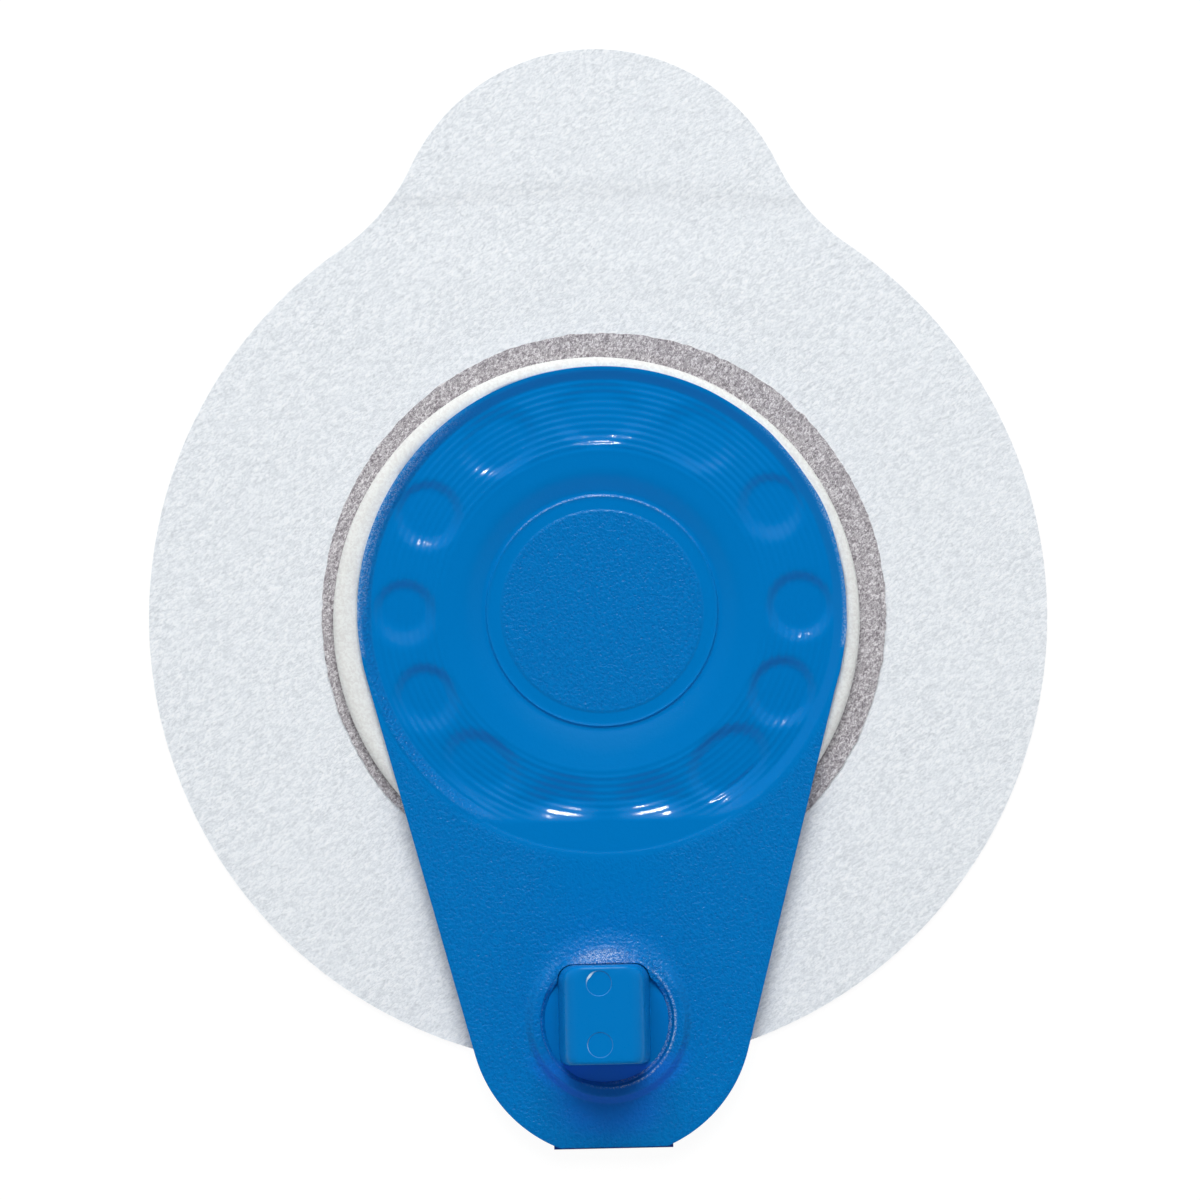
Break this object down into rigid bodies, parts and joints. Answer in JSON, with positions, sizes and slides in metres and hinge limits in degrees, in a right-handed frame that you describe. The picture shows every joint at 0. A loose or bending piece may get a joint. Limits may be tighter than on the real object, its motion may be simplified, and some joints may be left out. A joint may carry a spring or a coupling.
{
  "type": "ecg electrode",
  "caption": "Single-use ECG electrode: white adhesive pad with a grip lobe, blue formed cover film with a ringed dish and a tongue that carries a 4 mm lead socket.",
  "frame": {"origin": "middle of the gel disc on the skin plane", "axes": "+Z away from the skin, +Y towards the grip lobe, the lead socket opens towards -Y"},
  "size_m": [0.0556, 0.0681, 0.0074],
  "materials": {
    "white_nonwoven": "matte fibrous nonwoven",
    "clear_film": "thin satin film",
    "grey_web": "speckled fibre web",
    "cream_foam": "fine closed-cell foam",
    "gel_foam": "wet open-cell sponge",
    "coated_strip": "satin silver grey coat",
    "plain_plastic": "plain sheet",
    "blue_film": "satin formed film with fine grain",
    "blue_plastic": "satin moulding",
    "plated_metal": "nickel plated"
  },
  "bodies": {
    "root": {"backing_pad": "white_nonwoven", "grip_strip": "clear_film", "bonding_ring": "grey_web", "foam_ring": "cream_foam", "gel_sponge": "gel_foam", "sensor_strip": "coated_strip", "stiffener_disc": "plain_plastic", "cover_film": "blue_film", "socket_housing": "blue_plastic", "contact_sleeve": "plated_metal"}
  },
  "joints": []
}
